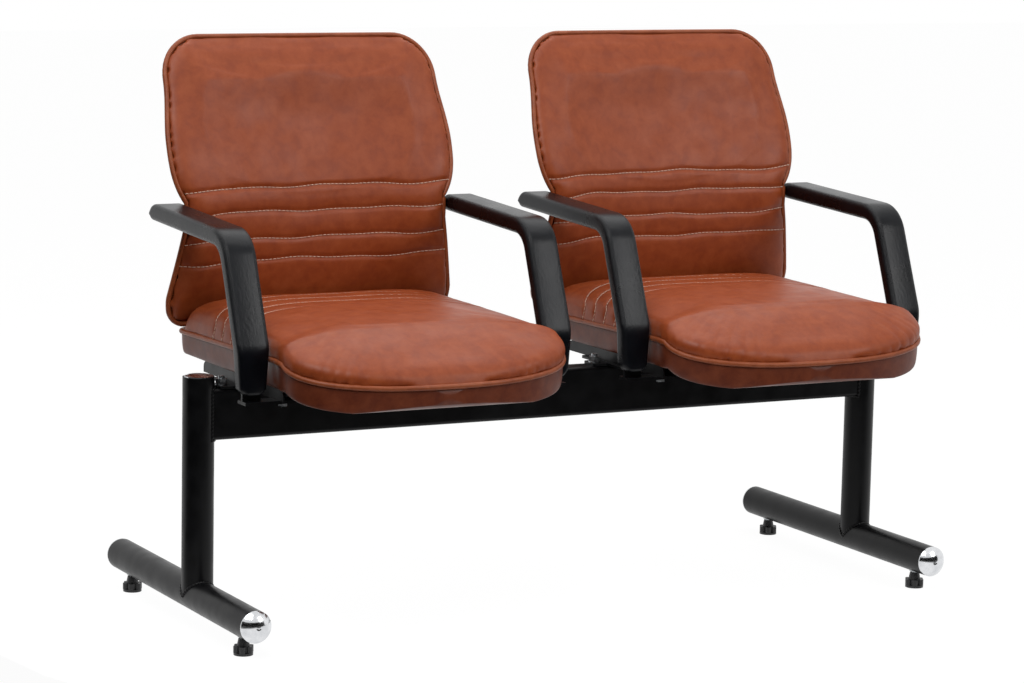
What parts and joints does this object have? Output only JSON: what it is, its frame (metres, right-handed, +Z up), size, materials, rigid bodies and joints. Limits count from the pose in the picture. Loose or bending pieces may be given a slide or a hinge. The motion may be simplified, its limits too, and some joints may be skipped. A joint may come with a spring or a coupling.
{
  "type": "beam seating",
  "caption": "Beam bench with upholstered chairs, each with two loop armrests, on a black steel beam between tube legs with levelling glides.",
  "frame": {"origin": "on the floor under the middle of the bench's whole footprint", "axes": "+X along the row to the sitters' left, +Y from the seat front to the backrests, +Z up"},
  "size_m": [1.27, 0.6571, 0.9081],
  "materials": {
    "tan_leatherette": "satin grained leatherette over foam",
    "brown_leatherette": "satin grained leatherette, underside band",
    "welt_piping": "satin",
    "plywood": "raw birch",
    "black_polyurethane": "fine grained",
    "chrome_cap": "polished",
    "zinc_steel": "zinc plated",
    "black_nylon": "moulded",
    "black_powder_coat": "semi-gloss powder coat"
  },
  "bodies": {
    "bench": {"beam": "black_powder_coat", "beam_nuts": "zinc_steel", "beam_studs": "zinc_steel", "beam_washers": "zinc_steel", "foot_caps": "chrome_cap", "foot_tube_left": "black_powder_coat", "foot_tube_right": "black_powder_coat", "glide_inserts": "zinc_steel", "left_arm_steel_a": "black_powder_coat", "left_arm_steel_b": "black_powder_coat", "left_armrest_a": "black_polyurethane", "left_armrest_b": "black_polyurethane", "left_back_board": "plywood", "left_back_cover": "tan_leatherette", "left_back_cushion": "tan_leatherette", "left_back_piping": "welt_piping", "left_back_screws": "zinc_steel", "left_carrier_plate": "black_powder_coat", "left_rail_a": "black_powder_coat", "left_rail_b": "black_powder_coat", "left_seat_board": "plywood", "left_seat_bolts": "zinc_steel", "left_seat_cushion": "tan_leatherette", "left_seat_piping": "welt_piping", "left_seat_skirt": "brown_leatherette", "left_tee_nuts": "zinc_steel", "post_caps": "chrome_cap", "post_left": "black_powder_coat", "post_right": "black_powder_coat", "right_arm_steel_a": "black_powder_coat", "right_arm_steel_b": "black_powder_coat", "right_armrest_a": "black_polyurethane", "right_armrest_b": "black_polyurethane", "right_back_board": "plywood", "right_back_cover": "tan_leatherette", "right_back_cushion": "tan_leatherette", "right_back_piping": "welt_piping", "right_back_screws": "zinc_steel", "right_carrier_plate": "black_powder_coat", "right_rail_a": "black_powder_coat", "right_rail_b": "black_powder_coat", "right_seat_board": "plywood", "right_seat_bolts": "zinc_steel", "right_seat_cushion": "tan_leatherette", "right_seat_piping": "welt_piping", "right_seat_skirt": "brown_leatherette", "right_tee_nuts": "zinc_steel"},
    "glide_left_front": {"glide_stud_left_front": "zinc_steel"},
    "knob_left_front": {"glide_knob_left_front": "black_nylon"},
    "glide_left_rear": {"glide_stud_left_rear": "zinc_steel"},
    "knob_left_rear": {"glide_knob_left_rear": "black_nylon"},
    "glide_right_front": {"glide_stud_right_front": "zinc_steel"},
    "knob_right_front": {"glide_knob_right_front": "black_nylon"},
    "glide_right_rear": {"glide_stud_right_rear": "zinc_steel"},
    "knob_right_rear": {"glide_knob_right_rear": "black_nylon"}
  },
  "joints": [
    {"name": "glide_height_left_front", "type": "slide", "parent": "bench", "child": "glide_left_front", "axis": [0, 0, 1], "range_m": [-0.015, 0.002]},
    {"name": "knob_turn_left_front", "type": "hinge", "parent": "glide_left_front", "child": "knob_left_front", "pos_m": [-0.61, -0.1994, 0], "axis": [0, 0, 1], "range_deg": [-3600, 480]},
    {"name": "glide_height_left_rear", "type": "slide", "parent": "bench", "child": "glide_left_rear", "axis": [0, 0, 1], "range_m": [-0.015, 0.002]},
    {"name": "knob_turn_left_rear", "type": "hinge", "parent": "glide_left_rear", "child": "knob_left_rear", "pos_m": [-0.61, 0.2666, 0], "axis": [0, 0, 1], "range_deg": [-3600, 480]},
    {"name": "glide_height_right_front", "type": "slide", "parent": "bench", "child": "glide_right_front", "axis": [0, 0, 1], "range_m": [-0.015, 0.002]},
    {"name": "knob_turn_right_front", "type": "hinge", "parent": "glide_right_front", "child": "knob_right_front", "pos_m": [0.61, -0.1994, 0], "axis": [0, 0, 1], "range_deg": [-3600, 480]},
    {"name": "glide_height_right_rear", "type": "slide", "parent": "bench", "child": "glide_right_rear", "axis": [0, 0, 1], "range_m": [-0.015, 0.002]},
    {"name": "knob_turn_right_rear", "type": "hinge", "parent": "glide_right_rear", "child": "knob_right_rear", "pos_m": [0.61, 0.2666, 0], "axis": [0, 0, 1], "range_deg": [-3600, 480]}
  ],
  "couplings": [
    {"joint": "knob_turn_left_front", "follows": "glide_height_left_front", "rad_per_m": 4188.8},
    {"joint": "knob_turn_left_rear", "follows": "glide_height_left_rear", "rad_per_m": 4188.8},
    {"joint": "knob_turn_right_front", "follows": "glide_height_right_front", "rad_per_m": 4188.8},
    {"joint": "knob_turn_right_rear", "follows": "glide_height_right_rear", "rad_per_m": 4188.8}
  ]
}
